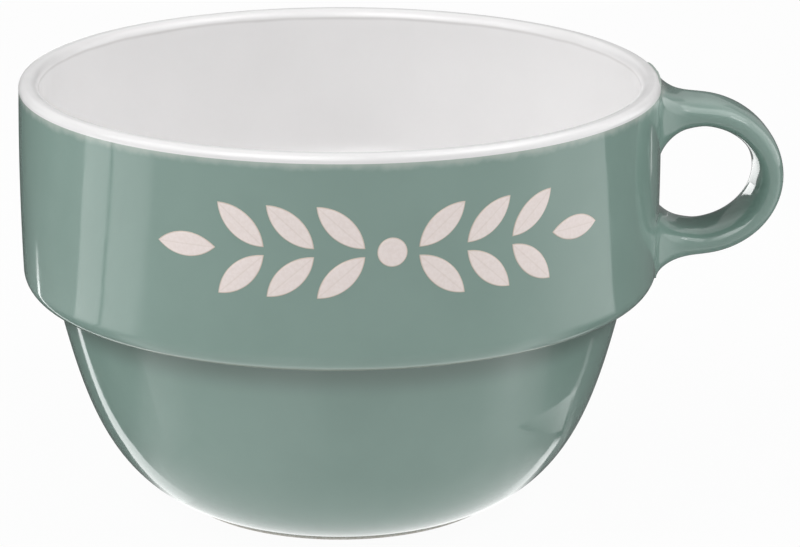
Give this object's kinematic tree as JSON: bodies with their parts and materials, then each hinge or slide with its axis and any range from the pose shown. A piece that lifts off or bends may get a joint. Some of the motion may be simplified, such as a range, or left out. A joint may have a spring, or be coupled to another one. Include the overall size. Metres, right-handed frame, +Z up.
{
  "type": "breakfast mug",
  "caption": "Wide stackable stoneware breakfast mug: straight band over a rounded bowl on a foot ring, loop handle, white inside and green outside glaze, pale leaf print.",
  "frame": {"origin": "on the table under the middle of the whole outline, handle included", "axes": "+X towards the handle, +Z up out of the mouth"},
  "size_m": [0.1418, 0.1186, 0.08],
  "materials": {
    "stoneware": "bare fired stoneware, matte",
    "slip": "fired slip, matte",
    "white_glaze": "glossy white glaze",
    "green_glaze": "glossy sage green glaze",
    "print": "pale satin print fired into the glaze"
  },
  "bodies": {
    "root": {"stoneware_body": "stoneware", "handle": "stoneware", "upper_handle_slip": "slip", "lower_handle_slip": "slip", "inner_glaze": "white_glaze", "outer_glaze": "green_glaze", "handle_glaze": "green_glaze", "base_glaze": "green_glaze", "dot_print": "print", "leaf_print_01": "print", "leaf_print_02": "print", "leaf_print_03": "print", "leaf_print_04": "print", "leaf_print_05": "print", "leaf_print_06": "print", "leaf_print_07": "print", "leaf_print_08": "print", "leaf_print_09": "print", "leaf_print_10": "print", "leaf_print_11": "print", "leaf_print_12": "print", "leaf_print_13": "print", "leaf_print_14": "print"}
  },
  "joints": []
}
